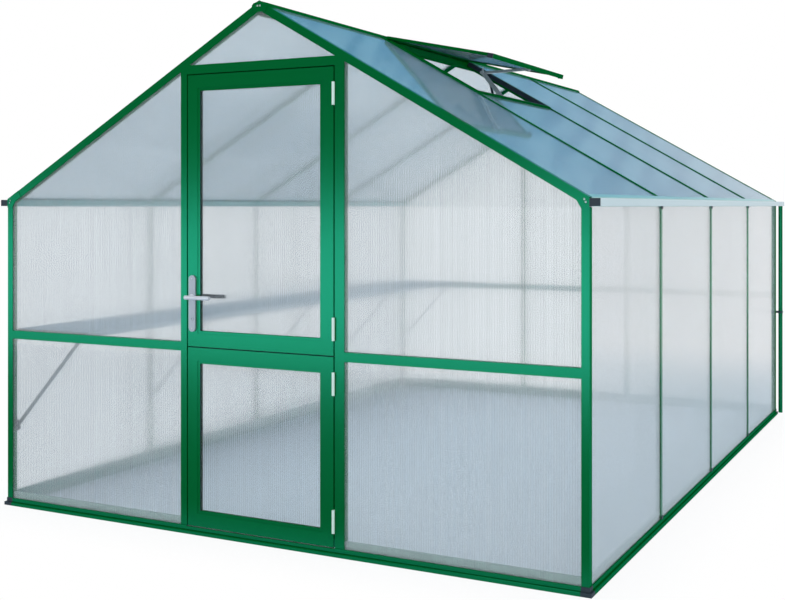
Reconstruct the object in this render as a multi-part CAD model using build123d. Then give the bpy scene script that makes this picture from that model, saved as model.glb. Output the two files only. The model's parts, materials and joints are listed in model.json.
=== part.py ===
from build123d import *
from math import acos, atan2, cos, degrees, hypot, radians, sin, tan
import os

# All sizes are in millimetres. The origin is on the ground, under the middle of the ridge.
# X runs across the gable, -Y points out of the door, and +Z is up.

# Building
width = 2940.0
bay_width = 1069.25
bay_count = 4
eave_height = 1492.3
roof_pitch = 30.0

# Frame profiles
frame_depth = 32.0
post_face = 32.0
rafter_face = 35.0
latch_post_face = 33.0
hinge_post_face = 46.0
back_post_face = 38.0
rail_face = 40.0
profile_wall = 2.0
lip = 2.0
slot_depth = 13.0
slot_play = 0.2
mid_rail_bottom = 811.5

# Glazing sheets
sheet_thickness = 10.0
sheet_edge_play = 1.0

# How far a cutting shape runs past what it cuts
cut_past = 1.0

# Glazing bars between the sheets
bar_width = 24.0
bar_web = 4.0
bar_proud = 2.0
bar_depth = 30.0
clip_height = 14.0
clip_width = 30.0
clip_thickness = 2.5

# Base sills
sill_top = 35.0
sill_lip_out = 11.5
sill_lip_height = 16.0
sill_band_out = 3.0
sill_groove = 3.0
sill_inside = 33.0
sill_upright = 65.0
sill_slot_floor = 23.0
sill_ledge = 15.0
sill_foot_thickness = 3.0

# Ridge, eave beam, gutter and downpipe
ridge_half_width = 34.0
crown_rise = 1.5
crown_edge_drop = 8.5
ridge_shoulder = 20.0
ridge_height = 60.0
ridge_stem = 15.0
eave_beam_reach = 20.0
eave_beam_height = 36.0
gutter_width = 42.5
gutter_height = 30.0
gutter_wall = 2.0
gutter_drop = 4.5
gutter_bead = 5.0
gutter_past_back = 73.0
gutter_cap_thickness = 3.0
pipe_radius = 14.0
pipe_wall = 2.0
pipe_from_gutter_end = 17.0
pipe_foot_gap = 4.0
pipe_clip_above_ground = 712.0
pipe_clip_height = 14.0
pipe_clip_band = 3.0
pipe_clip_arm = 10.0

# Gusset plates
gusset_thickness = 2.5
apex_plate_half = 38.0
apex_plate_rise = 3.0
apex_plate_shoulder = 18.0
apex_plate_drop = 46.0
apex_plate_bevel = 9.0
knee_along_rafter = 70.0
knee_along_post = 42.0
knee_chamfer = 18.5

# Door opening and leaves
door_half_outside = 420.0
threshold_drop = 3.5
leaf_gap = 5.0
leaf_side_gap = 6.0
leaf_depth = 25.0
leaf_stile = 65.5
leaf_rail = 70.0
leaf_bead = 12.0
leaf_bead_step = 2.0
leaf_sheet_setback = 11.0
lintel_under_rafter = 32.5
stop_reach = 12.0
stop_thickness = 2.0

# Door hinges
hinge_radius = 6.5
hinge_length = 96.0
hinge_pin_radius = 3.0
hinge_pin_play = 0.05
hinge_face_gap = 0.5
hinge_plate = 2.0
hinge_plate_depth = 20.0
knuckle_gap = 0.5
hinge_above_sill = 110.0
hinge_from_split = 114.0
hinge_under_lintel = 117.5

# Handle
lever_inset = 27.0
plate_width = 35.0
plate_above_lever = 96.0
plate_below_lever = 154.0
plate_thickness = 8.0
lever_above_split = 222.5
lever_reach = 122.0
lever_proud = 55.0
lever_radius = 9.0
lever_hub_radius = 13.0
lever_neck_radius = 8.0
lever_play = 0.3
spindle_radius = 4.0
key_below_lever = 97.0
key_radius = 8.5
key_proud = 3.0

# Roof window in the right slope
window_bay = 1
curb_face = 24.0
curb_depth = 30.0
curb_play = 0.5
window_reach = 654.0
rim_width = 10.0
rim_height = 8.0
rim_start = 84.0
seal_width = 14.0
seal_height = 6.0
seal_flap = 18.0
seal_flap_thickness = 3.0
lid_raise = 18.0
lid_past_curb = 6.0
lid_face = 30.0
lid_depth = 14.0
lid_hinge_along = 62.0
lid_hinge_radius = 4.0
lid_seat_gap = 0.3
lid_sheet_thickness = 4.0
lid_drip = 10.0
lid_cap_thickness = 4.0

# Opener of the roof window
opener_plate = 3.0
opener_plate_width = 64.0
opener_base_in = 22.0
opener_base_drop = 10.0
opener_lid_in = 21.0
opener_lid_drop = 12.0
lower_arm_length = 222.0
upper_arm_length = 249.0
arm_pair_gap = 26.0
lower_arm_width = 16.0
upper_arm_width = 14.0
arm_thickness = 3.0
pivot_radius = 5.0
hub_radius = 9.0
hub_overhang = 6.0
stop_nut_radius = 5.0
stop_nut_rise = 26.0
tube_radius = 7.5
tube_length = 190.0
tube_lean = 14.0
tube_seat_share = 0.3

# Staging shelf along the left wall
shelf_height = 858.0
shelf_depth = 442.0
shelf_sheet = 2.0
shelf_fold = 24.0
shelf_joint = 3.0
shelf_end_gap = 6.0
arm_height = 22.0
arm_width = 20.0
strut_width = 20.0
strut_thickness = 4.0
strut_drop = 484.0
strut_head_inset = 22.0
wall_plate_thickness = 2.0
wall_plate_width = 24.0
wall_plate_height = 50.0
wall_plate_below_foot = 14.0
wall_plate_lap = 12.0

# Derived values
length = bay_width * bay_count
half_width = width / 2
half_length = length / 2
slope = tan(radians(roof_pitch))
along_cos = cos(radians(roof_pitch))
along_sin = sin(radians(roof_pitch))
ridge_top = eave_height + half_width * slope
slot_width = sheet_thickness + 2 * slot_play
sheet_out = lip + slot_play
sheet_in = sheet_out + sheet_thickness
slot_in = lip + slot_width
box_front = slot_in + profile_wall
box_back = frame_depth - profile_wall
slot_reach = slot_depth - sheet_edge_play
rafter_drop = rafter_face / along_cos
mid_rail_top = mid_rail_bottom + rail_face
door_left = latch_post_face - door_half_outside
door_right = door_half_outside - hinge_post_face
leaf_left = door_left + leaf_side_gap
leaf_right = door_right - leaf_side_gap
back_half_inside = door_half_outside - back_post_face
leaf_split = mid_rail_bottom + rail_face / 2
lintel_bottom = ridge_top + door_left * slope - rafter_drop - lintel_under_rafter
lintel_top = lintel_bottom + rail_face
hinge_heights = [
    sill_top + hinge_above_sill, leaf_split - hinge_from_split,
    leaf_split + hinge_from_split, lintel_bottom - hinge_under_lintel,
]
threshold_top = sill_top - threshold_drop
lever_x = leaf_left + lever_inset
lever_height = leaf_split + lever_above_split
plate_top = lever_height + plate_above_lever
plate_bottom = lever_height - plate_below_lever
key_height = lever_height - key_below_lever
lid_length = window_reach - lid_hinge_along + lid_past_curb
strut_foot_height = shelf_height - strut_drop
shelf_wall = post_face + wall_plate_thickness - half_width
eave_beam_bottom = eave_height - eave_beam_height
stations = [bay_width * (i + 1) - half_length for i in range(bay_count - 1)]
right_slope = Plane(
    origin=(0, 0, ridge_top), x_dir=(along_cos, 0, -along_sin), z_dir=(along_sin, 0, along_cos)
)
far = 3 * width


def block(x_low, x_high, y_low, y_high, z_low, z_high):
    middle = ((x_low + x_high) / 2, (y_low + y_high) / 2, (z_low + z_high) / 2)
    return Pos(*middle) * Box(x_high - x_low, y_high - y_low, z_high - z_low)


def patch(x_low, x_high, y_low, y_high):
    return Pos((x_low + x_high) / 2, (y_low + y_high) / 2) * Rectangle(x_high - x_low, y_high - y_low)


def outline(points):
    return Polygon(*points, align=None)


def run(section, start, depth_dir, run_dir, distance):
    return extrude(Plane(origin=start, x_dir=depth_dir, z_dir=run_dir) * section, distance, dir=run_dir)


def across(points, y_low, y_high):
    """A plate whose outline lies in the gable's plane, between two depths."""
    return run(outline(points), (0, y_high, 0), (1, 0, 0), (0, -1, 0), y_high - y_low)


def to_right(shape):
    return mirror(shape, about=Plane.YZ)


def to_back(shape):
    return mirror(shape, about=Plane.XZ)


def both_sides(shape):
    return [shape, to_right(shape)]


def four_corners(shape):
    pair = both_sides(shape)
    return pair + [to_back(one) for one in pair]


def roof_line(x, depth=0.0):
    """Height of a plane parallel to the roof's outer face, a given depth below it."""
    return ridge_top - abs(x) * slope - depth / along_cos


def above_roof(depth, y_low, y_high):
    """Everything over a plane parallel to the roof, for cutting members to the slope."""
    points = [
        (-far, roof_line(far, depth)), (0, roof_line(0, depth)), (far, roof_line(far, depth)),
        (far, far), (-far, far),
    ]
    return across(points, y_low, y_high)


def save(name, *solids):
    shape = solids[0] if len(solids) == 1 else Compound(children=list(solids))
    export_step(shape, f"parts/{name}.step")


# Profile sections: the first axis runs inwards from the outer face or edge of the member.

def corner_section(face):
    gable_slot = patch(face - slot_depth, face, lip, slot_in)
    side_slot = patch(lip, slot_in, frame_depth - slot_depth, frame_depth)
    outer_high = (face - slot_depth - profile_wall, frame_depth - slot_depth - profile_wall)
    outer_room = patch(profile_wall, outer_high[0], profile_wall, outer_high[1])
    inner_room = patch(face - slot_depth, face - profile_wall, box_front, box_back)
    return patch(0, face, 0, frame_depth) - gable_slot - side_slot - outer_room - inner_room


def rail_section(top_slot=True, bottom_slot=True):
    section = patch(0, frame_depth, 0, rail_face)
    section -= patch(box_front, box_back, profile_wall, rail_face - profile_wall)
    section -= patch(profile_wall, slot_in, slot_depth + profile_wall, rail_face - slot_depth - profile_wall)
    if top_slot:
        section -= patch(lip, slot_in, rail_face - slot_depth, rail_face)
    if bottom_slot:
        section -= patch(lip, slot_in, 0, slot_depth)
    return section


def lintel_section():
    stop = patch(frame_depth - stop_thickness, frame_depth, -stop_reach, 0)
    return rail_section(bottom_slot=False) + stop


def door_post_section(face):
    section = patch(0, face, 0, frame_depth)
    section -= patch(0, slot_depth, lip, slot_in)
    section -= patch(profile_wall, slot_depth, box_front, box_back)
    section -= patch(slot_depth + profile_wall, face - profile_wall, profile_wall, box_back)
    return section + patch(face, face + stop_reach, frame_depth - stop_thickness, frame_depth)


def back_post_section():
    far_slot = back_post_face - slot_depth
    section = patch(0, back_post_face, 0, frame_depth)
    section -= patch(0, slot_depth, lip, slot_in) + patch(far_slot, back_post_face, lip, slot_in)
    section -= patch(slot_depth + profile_wall, far_slot - profile_wall, profile_wall, slot_in)
    section -= patch(profile_wall, back_post_face - profile_wall, box_front, box_back)
    return section


def bar_section():
    half = bar_width / 2
    section = patch(-bar_proud, lip, -half, half) + patch(lip, slot_in, -bar_web / 2, bar_web / 2)
    section += patch(slot_in, box_front, -half, half)
    section += patch(box_front, bar_depth, -half / 2, half / 2)
    section -= patch(box_front, bar_depth - profile_wall, profile_wall - half / 2, half / 2 - profile_wall)
    return section


def sill_section():
    """Stepped outer face, a slot for the sheets, and an upright with a ledge inside."""
    band_bottom = sill_lip_height + sill_groove
    ledge_in = slot_in + sill_ledge
    section = outline([
        (-sill_lip_out, 0), (-sill_lip_out, sill_lip_height - sill_groove),
        (-sill_lip_out + sill_groove, sill_lip_height), (0, sill_lip_height),
        (0, band_bottom), (-sill_band_out, band_bottom),
        (-sill_band_out, sill_top), (lip, sill_top), (lip, sill_slot_floor), (slot_in, sill_slot_floor),
        (slot_in, sill_upright), (ledge_in, sill_upright), (ledge_in, sill_upright - profile_wall),
        (box_front, sill_upright - profile_wall), (box_front, sill_foot_thickness),
        (sill_inside, sill_foot_thickness), (sill_inside, 0),
    ])
    room = patch(profile_wall, slot_in - profile_wall, sill_foot_thickness, sill_slot_floor - profile_wall)
    return section - room


# Base

def front_sill():
    span = half_width - sill_inside
    return run(sill_section(), (-span, -half_length, 0), (0, 1, 0), (1, 0, 0), 2 * span)


def threshold_cut():
    """The sill is lower between the door posts, and its upright is left out there."""
    outer, inner = -half_length - sill_band_out, -half_length + sill_inside
    return block(door_left, door_right, outer, inner, threshold_top, sill_upright)


def left_sill():
    span = half_length - sill_inside
    return run(sill_section(), (-half_width, span, 0), (1, 0, 0), (0, -1, 0), 2 * span)


def corner_cap():
    """Moulded corner that joins two sills and carries a corner post."""
    lip_part = block(-sill_lip_out, sill_inside, -sill_lip_out, sill_inside, 0, sill_lip_height)
    cap = lip_part + block(-sill_band_out, sill_inside, -sill_band_out, sill_inside, 0, sill_top)
    sheet_room = post_face - slot_depth
    cap -= block(sheet_room, sill_inside, lip, slot_in, sill_slot_floor, sill_top)
    cap -= block(lip, slot_in, sheet_room, sill_inside, sill_slot_floor, sill_top)
    return Pos(-half_width, -half_length, 0) * cap


# Frame

def corner_post():
    start = (-half_width, -half_length, sill_top)
    return cut_to_rafter(run(corner_section(post_face), start, (1, 0, 0), (0, 0, 1), eave_height))


def rafter():
    start = (-half_width, -half_length, eave_height)
    down, up_slope = (along_sin, 0, -along_cos), (along_cos, 0, along_sin)
    bar = run(corner_section(rafter_face), start, down, up_slope, width)
    low = bar.bounding_box().min.Z - cut_past
    y_high = -half_length + frame_depth + cut_past
    return bar & block(-half_width, 0, -half_length - cut_past, y_high, low, ridge_top + cut_past)


def cut_to_rafter(member):
    return member - above_roof(rafter_face, -half_length - cut_past, -half_length + frame_depth + cut_past)


def over_sill(post):
    """Post cut away behind its front lip, so that it stands over the sill's upright."""
    back = -half_length + frame_depth
    return post - block(-half_width, half_width, -half_length + slot_in, back, sill_top, sill_upright)


def door_post(face):
    """Door post on the left, with the given face; its stop ends under the lintel's."""
    start = (-door_half_outside, -half_length, sill_top)
    post = run(door_post_section(face), start, (1, 0, 0), (0, 0, 1), ridge_top)
    inside = face - door_half_outside
    stop = block(inside, inside + stop_reach, -half_length, 0, lintel_bottom - stop_reach, ridge_top)
    return over_sill(cut_to_rafter(post - stop))


def plate_notch():
    """Room in the latch post's stop for the inner handle plate."""
    low, high = plate_bottom - leaf_gap, plate_top + leaf_gap
    return block(door_left, door_left + stop_reach, -half_length, 0, low, high)


def lintel():
    start = (door_left, -half_length, lintel_bottom)
    return cut_to_rafter(run(lintel_section(), start, (0, 1, 0), (1, 0, 0), door_right - door_left))


def side_mid_rail():
    left_end = post_face - half_width
    start = (left_end, -half_length, mid_rail_bottom)
    return run(rail_section(), start, (0, 1, 0), (1, 0, 0), -door_half_outside - left_end)


def middle_mid_rail():
    start = (-back_half_inside, -half_length, mid_rail_bottom)
    return run(rail_section(), start, (0, 1, 0), (1, 0, 0), 2 * back_half_inside)


def back_post():
    start = (-door_half_outside, -half_length, sill_top)
    post = run(back_post_section(), start, (1, 0, 0), (0, 0, 1), ridge_top)
    return over_sill(cut_to_rafter(post))


def roof_sheet_slot(along_start, along_end, y_low, y_high):
    return right_slope.location * block(along_start, along_end, y_low, y_high, -slot_in, -lip)


def ridge_slot_end():
    return ridge_half_width / along_cos - slot_depth


def ridge():
    """Ridge bar between the gables, with a crown that runs on over the rafters to both gable faces."""
    shoulder, edge = roof_line(ridge_half_width), ridge_top - crown_edge_drop
    points = [
        (0, ridge_top), (ridge_half_width, shoulder), (ridge_half_width, shoulder - ridge_shoulder),
        (ridge_stem, ridge_top - ridge_height), (-ridge_stem, ridge_top - ridge_height),
        (-ridge_half_width, shoulder - ridge_shoulder), (-ridge_half_width, shoulder),
    ]
    crown = [
        (0, ridge_top + crown_rise), (ridge_half_width, edge), (ridge_half_width, shoulder),
        (0, ridge_top), (-ridge_half_width, shoulder), (-ridge_half_width, edge),
    ]
    end = half_length - frame_depth
    bar = across(points, -end, end)
    slot = roof_sheet_slot(ridge_slot_end(), far, -end, end)
    room_bottom = ridge_top - ridge_height + profile_wall
    room_half = ridge_stem - profile_wall
    room = block(-room_half, room_half, -end, end, room_bottom, room_bottom + room_half)
    return bar - slot - to_right(slot) - room + across(crown, -half_length, half_length)


def eave_slot_end():
    """Distance down the slope, from the ridge line, where the eave beam's slot ends."""
    return (half_width - eave_beam_reach) / along_cos + slot_depth + lip


def eave_shelf():
    """Height of the eave beam's inner part, level with the underside of the lip below the roof sheets."""
    return roof_line(half_width - eave_beam_reach, box_front)


def eave_beam():
    """Right eave beam: the roof sheets end in its sloped top and the wall sheets in its underside."""
    inner, step = half_width - eave_beam_reach, half_width - frame_depth
    points = [
        (half_width, eave_height), (inner, roof_line(inner)), (inner, eave_shelf()),
        (step, eave_shelf() - lip), (step, eave_beam_bottom), (half_width, eave_beam_bottom),
    ]
    end = half_length - frame_depth
    beam = across(points, -end, end) - roof_sheet_slot(0, eave_slot_end(), -end, end)
    slot_top = eave_beam_bottom + slot_depth
    wall_slot = block(half_width - slot_in, half_width - lip, -end, end, eave_beam_bottom, slot_top)
    room_low = eave_beam_bottom + profile_wall
    room = block(step + profile_wall, half_width - box_front, -end, end, room_low, slot_top)
    return beam - wall_slot - room


def wall_bar(y):
    """Bar between two sheets of the left wall, from the sill to the eave beam."""
    bar = run(bar_section(), (-half_width, y, sill_top), (1, 0, 0), (0, 0, 1), eave_beam_bottom - sill_top)
    inner = bar_depth - half_width
    return bar - block(slot_in - half_width, inner, y - bar_width, y + bar_width, sill_top, sill_upright)


def roof_bar(y):
    """Bar between two sheets of the left slope, from the eave beam up to the ridge."""
    start = (-half_width, y, eave_height)
    bar = run(bar_section(), start, (along_sin, 0, -along_cos), (along_cos, 0, along_sin), width)
    bar -= block(-half_width, frame_depth - half_width, y - bar_width, y + bar_width, 0, eave_shelf())
    return bar & block(eave_beam_reach - half_width, -ridge_half_width, y - bar_width, y + bar_width, 0, far)


def wall_bar_clips(y):
    """Dark clips at the foot and the head of one left wall bar."""
    out = -half_width - bar_proud
    half = clip_width / 2
    foot = block(out - clip_thickness, out, y - half, y + half, sill_top, sill_top + clip_height)
    head_top = eave_height - gutter_drop - gutter_height
    head = block(out - clip_thickness, out, y - half, y + half, head_top - clip_height, head_top)
    return [foot, head]


# Gutters and downpipes

def gutter_top():
    return eave_height - gutter_drop


def gutter_end():
    return half_length + gutter_past_back


def pipe_centre():
    return half_width + gutter_width / 2, gutter_end() - pipe_from_gutter_end


def gutter():
    """Right gutter: an open trough with a rolled outer edge and an outlet at the back."""
    top, bottom = gutter_top(), gutter_top() - gutter_height
    outer = half_width + gutter_width
    section = [
        (half_width, bottom), (outer, bottom), (outer, top), (outer - gutter_bead, top),
        (outer - gutter_bead, top - gutter_wall), (outer - gutter_wall, top - gutter_wall),
        (outer - gutter_wall, bottom + gutter_wall), (half_width + gutter_wall, bottom + gutter_wall),
        (half_width + gutter_wall, top), (half_width, top),
    ]
    x, y = pipe_centre()
    outlet = Pos(x, y, bottom - cut_past) * Circle(pipe_radius - pipe_wall)
    return across(section, -half_length, gutter_end()) - extrude(outlet, gutter_wall + 2 * cut_past)


def gutter_cap(y_low):
    top, outer = gutter_top(), half_width + gutter_width
    return block(half_width, outer, y_low, y_low + gutter_cap_thickness, top - gutter_height, top)


def downpipe():
    x, y = pipe_centre()
    top = gutter_top() - gutter_height
    tube = Circle(pipe_radius) - Circle(pipe_radius - pipe_wall)
    return extrude(Pos(x, y, pipe_foot_gap) * tube, top - pipe_foot_gap)


def pipe_clip(z):
    """Band round the pipe with an arm back to the corner post."""
    x, y = pipe_centre()
    band = Circle(pipe_radius + pipe_clip_band)
    arm_x = half_width - post_face / 2 - x
    arm_y = -pipe_radius - pipe_clip_band
    arm = patch(arm_x, 0, arm_y, arm_y + pipe_clip_arm)
    foot = patch(arm_x, arm_x + pipe_clip_arm, half_length - y, -pipe_radius)
    section = band + arm + foot - Circle(pipe_radius)
    return extrude(Pos(x, y, z - pipe_clip_height / 2) * section, pipe_clip_height)


# Gusset plates on the front gable

def apex_plate():
    shoulder = ridge_top + apex_plate_rise - apex_plate_shoulder
    bottom = ridge_top - apex_plate_drop
    bevel_x, bevel_z = apex_plate_half - apex_plate_bevel, bottom + apex_plate_bevel
    points = [
        (0, ridge_top + apex_plate_rise), (apex_plate_half, shoulder), (apex_plate_half, bevel_z),
        (bevel_x, bottom), (-bevel_x, bottom), (-apex_plate_half, bevel_z), (-apex_plate_half, shoulder),
    ]
    return across(points, -half_length - gusset_thickness, -half_length)


def knee_plate():
    """Left knee plate, with its inner corner chamfered between post and rafter."""
    inner = post_face - half_width
    along = knee_along_rafter - half_width
    chamfer_x = inner + knee_chamfer
    square_x = along + rafter_face * along_sin
    points = [
        (-half_width, eave_height - knee_along_post), (-half_width, eave_height),
        (along, roof_line(along)), (square_x, roof_line(square_x, rafter_face)),
        (chamfer_x, roof_line(chamfer_x, rafter_face)), (inner, eave_height - knee_along_post),
    ]
    return across(points, -half_length - gusset_thickness, -half_length)


# Sheets

def gable_sheet(points):
    """A sheet in the front gable, cut to the rafters' slots."""
    y_low = sheet_out - half_length
    sheet = across(points, y_low, y_low + sheet_thickness)
    return sheet - above_roof(rafter_face - slot_reach, -half_length, half_length)


def plain_points(x_low, x_high, z_low, z_high):
    return [(x_low, z_low), (x_high, z_low), (x_high, z_high), (x_low, z_high)]


def side_gable_sheets():
    """Lower and upper sheet between the left corner post and the door post."""
    x_low = post_face - slot_reach - half_width
    x_high = -door_half_outside + slot_reach
    floor = sill_slot_floor + sheet_edge_play
    lower = gable_sheet(plain_points(x_low, x_high, floor, mid_rail_bottom + slot_reach))
    upper = gable_sheet(plain_points(x_low, x_high, mid_rail_top - slot_reach, ridge_top))
    return [lower, upper]


def over_door_sheet():
    low, high = door_left + sheet_edge_play, door_right - sheet_edge_play
    return gable_sheet(plain_points(low, high, lintel_top - slot_reach, ridge_top))


def back_middle_sheets():
    half = back_half_inside + slot_reach
    floor = sill_slot_floor + sheet_edge_play
    lower = gable_sheet(plain_points(-half, half, floor, mid_rail_bottom + slot_reach))
    upper = gable_sheet(plain_points(-half, half, mid_rail_top - slot_reach, ridge_top))
    return [lower, upper]


def bay_span(index):
    """Front and back edge of the sheets in one bay."""
    web_side = bar_web / 2 + sheet_edge_play
    corner_side = frame_depth - slot_reach
    y_low = index * bay_width - half_length
    y_high = y_low + bay_width
    low_inset = corner_side if index == 0 else web_side
    high_inset = corner_side if index == bay_count - 1 else web_side
    return y_low + low_inset, y_high - high_inset


def wall_sheet(index):
    """One sheet of the left wall, its top corner notched under the rafter at either end."""
    y_low, y_high = bay_span(index)
    x_low = sheet_out - half_width
    floor = sill_slot_floor + sheet_edge_play
    sheet = block(x_low, x_low + sheet_thickness, y_low, y_high, floor, eave_beam_bottom + slot_reach)
    notch_floor = eave_height - rafter_drop - sheet_edge_play
    end = half_length - frame_depth - sheet_edge_play
    for side in (-1, 1):
        y_ends = sorted((side * end, side * half_length))
        sheet -= block(-half_width, x_low + 2 * sheet_thickness, *y_ends, notch_floor, eave_height)
    return sheet


def roof_sheet(index, along_start=None):
    """One sheet of the right slope."""
    y_low, y_high = bay_span(index)
    start = ridge_slot_end() + sheet_edge_play if along_start is None else along_start
    end = eave_slot_end() - sheet_edge_play
    flat = block(start, end, y_low, y_high, -sheet_in, -sheet_out)
    return right_slope.location * flat


# Roof window

def window_span():
    y_low = window_bay * bay_width - half_length
    return y_low, y_low + bay_width


def curb_edges():
    """Upper and lower edge along the slope, then front and back edge."""
    start = (ridge_half_width + curb_depth * along_sin) / along_cos + curb_play
    side_inset = bar_width / 2 + curb_play
    y_low, y_high = window_span()
    return start, window_reach, y_low + side_inset, y_high - side_inset


def curb():
    """Frame round the window's opening, between two roof bars, with a slot for the sheet below."""
    start, end, y_low, y_high = curb_edges()
    ring = block(start, end, y_low, y_high, -curb_depth, 0)
    ring -= block(start + curb_face, end - curb_face, y_low + curb_face, y_high - curb_face, -far, far)
    ring -= block(end - slot_depth, end, y_low, y_high, -slot_in, -lip)
    rim = block(rim_start, end, y_low, y_high, 0, rim_height)
    rim -= block(0, end - rim_width, y_low + rim_width, y_high - rim_width, 0, rim_height)
    return right_slope.location * (ring + rim)


def window_seal():
    """Rubber strip beside the curb's rim, with a flap down both sides, open under the lid's hinge."""
    start, end, y_low, y_high = curb_edges()
    inner = (y_low + curb_face - seal_width, y_high - curb_face + seal_width)
    low_end = end - curb_face + seal_width
    strip = block(start + curb_face, low_end, inner[0], inner[1], 0, seal_height)
    strip -= block(0, end - curb_face, y_low + curb_face, y_high - curb_face, -far, far)
    span = (start + curb_face, end - curb_face)
    front, back = y_low + curb_face, y_high - curb_face
    strip += block(*span, front, front + seal_flap_thickness, -seal_flap, seal_height)
    strip += block(*span, back - seal_flap_thickness, back, -seal_flap, seal_height)
    return right_slope.location * strip


def lid_plane():
    angle = radians(roof_pitch - lid_raise)
    rise = lid_hinge_radius + lid_seat_gap
    x = lid_hinge_along * along_cos + rise * along_sin
    z = ridge_top - lid_hinge_along * along_sin + rise * along_cos
    return Plane(origin=(x, 0, z), x_dir=(cos(angle), 0, -sin(angle)), z_dir=(sin(angle), 0, cos(angle)))


def lid_span():
    """Front and back edge of the lid, in line with the curb's."""
    return curb_edges()[2:]


def lid():
    """Lid frame with its hinge bead at the ridge and a downturned rail at the lower edge."""
    y_low, y_high = lid_span()
    ring = block(0, lid_length, y_low, y_high, 0, lid_depth)
    ring -= block(lid_face, lid_length - lid_face, y_low + lid_face, y_high - lid_face, -far, far)
    middle = (lid_depth - lid_sheet_thickness) / 2 - slot_play
    edge = lid_face - slot_depth
    ring -= block(
        edge, lid_length - edge, y_low + edge, y_high - edge,
        middle, middle + lid_sheet_thickness + 2 * slot_play
    )
    drip = block(lid_length - profile_wall, lid_length, y_low, y_high, -lid_drip, 0)
    bead = Pos(0, (y_low + y_high) / 2, 0) * Rot(90, 0, 0) * Cylinder(lid_hinge_radius, y_high - y_low)
    return lid_plane().location * (ring + drip + bead)


def lid_end_caps():
    """Moulded caps over both ends of the lid's lower rail."""
    y_low, y_high = lid_span()
    ends = ((y_low - lid_cap_thickness, y_low), (y_high, y_high + lid_cap_thickness))
    return [
        lid_plane().location * block(lid_length - lid_face, lid_length, low, high, -lid_drip, lid_depth)
        for low, high in ends
    ]


def lid_sheet():
    y_low, y_high = lid_span()
    middle = (lid_depth - lid_sheet_thickness) / 2
    edge = lid_face - slot_reach
    flat = block(edge, lid_length - edge, y_low + edge, y_high - edge, middle, middle + lid_sheet_thickness)
    return lid_plane().location * flat


# Opener of the roof window, drawn in the plane across its middle

def section_point(plane, along, up):
    """X and Z of a point given along and above a sloping plane."""
    point = plane.origin + plane.x_dir * along + plane.z_dir * up
    return point.X, point.Z


def opener_pivots():
    """Base pivot at the curb, hub between the arms and lid pivot; the hub follows from the arms' lengths."""
    base_along = window_reach - curb_face - opener_base_in
    base = section_point(right_slope, base_along, -curb_depth - opener_base_drop)
    lid_pivot = section_point(lid_plane(), lid_length - opener_lid_in, -opener_lid_drop)
    across_x, across_z = lid_pivot[0] - base[0], lid_pivot[1] - base[1]
    reach = hypot(across_x, across_z)
    cosine = (lower_arm_length ** 2 + reach ** 2 - upper_arm_length ** 2) / (2 * lower_arm_length * reach)
    heading = atan2(across_z, across_x) + acos(cosine)
    hub = base[0] + lower_arm_length * cos(heading), base[1] + lower_arm_length * sin(heading)
    return base, hub, lid_pivot


def link(start, end, bar_height, y_low, y_high):
    """Flat bar with round ends between two points of the plane."""
    run_x, run_z = end[0] - start[0], end[1] - start[1]
    middle = Pos((start[0] + end[0]) / 2, (start[1] + end[1]) / 2)
    turned = Rot(0, 0, degrees(atan2(run_z, run_x)))
    section = middle * turned * SlotCenterToCenter(hypot(run_x, run_z), bar_height)
    return run(section, (0, y_high, 0), (1, 0, 0), (0, -1, 0), y_high - y_low)


def pin(centre, radius, y_low, y_high):
    return run(Pos(*centre) * Circle(radius), (0, y_high, 0), (1, 0, 0), (0, -1, 0), y_high - y_low)


def base_bracket(middle):
    """Plate against the curb's lower member, with two lugs that carry the base pivot."""
    face = window_reach - curb_face
    half = opener_plate_width / 2
    low = -curb_depth - opener_base_drop - pivot_radius - opener_plate
    bracket = block(face - opener_plate, face, middle - half, middle + half, low, 0)
    outer = arm_pair_gap / 2 + arm_thickness
    for side in (-1, 1):
        y_ends = sorted((side * outer, side * (outer + arm_thickness)))
        lug_start = face - opener_base_in - pivot_radius - opener_plate
        bracket += block(lug_start, face, middle + y_ends[0], middle + y_ends[1], low, -curb_depth)
    return right_slope.location * bracket


def lid_bracket(middle):
    """Channel under the lid's lower rail, round the end of the upper arm."""
    low, high = lid_length - lid_face, lid_length - profile_wall
    half = upper_arm_width / 2
    outer = half + arm_thickness
    bottom = -opener_lid_drop - pivot_radius - arm_thickness
    channel = block(low, high, middle - outer, middle + outer, bottom, 0)
    channel -= block(low, high, middle - half, middle + half, bottom, -opener_plate)
    return lid_plane().location * channel


def lower_arms(base, hub, middle):
    half = arm_pair_gap / 2
    arms = []
    for side in (-1, 1):
        y_ends = sorted((side * half, side * (half + arm_thickness)))
        arms.append(link(base, hub, lower_arm_width, middle + y_ends[0], middle + y_ends[1]))
    return arms[0] + arms[1]


def wax_tube(base, hub, middle):
    """Cylinder hung from a crosspiece between the lower arms."""
    seat = (
        hub[0] + (base[0] - hub[0]) * tube_seat_share,
        hub[1] + (base[1] - hub[1]) * tube_seat_share,
    )
    lean = radians(tube_lean)
    down = Plane(
        origin=(seat[0], middle, seat[1]), x_dir=(cos(lean), 0, sin(lean)), z_dir=(sin(lean), 0, -cos(lean))
    )
    half = arm_pair_gap / 2
    crosspiece = link(hub, seat, lower_arm_width - 2 * arm_thickness, middle - half, middle + half)
    return crosspiece + extrude(down * Circle(tube_radius), tube_length)


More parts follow.
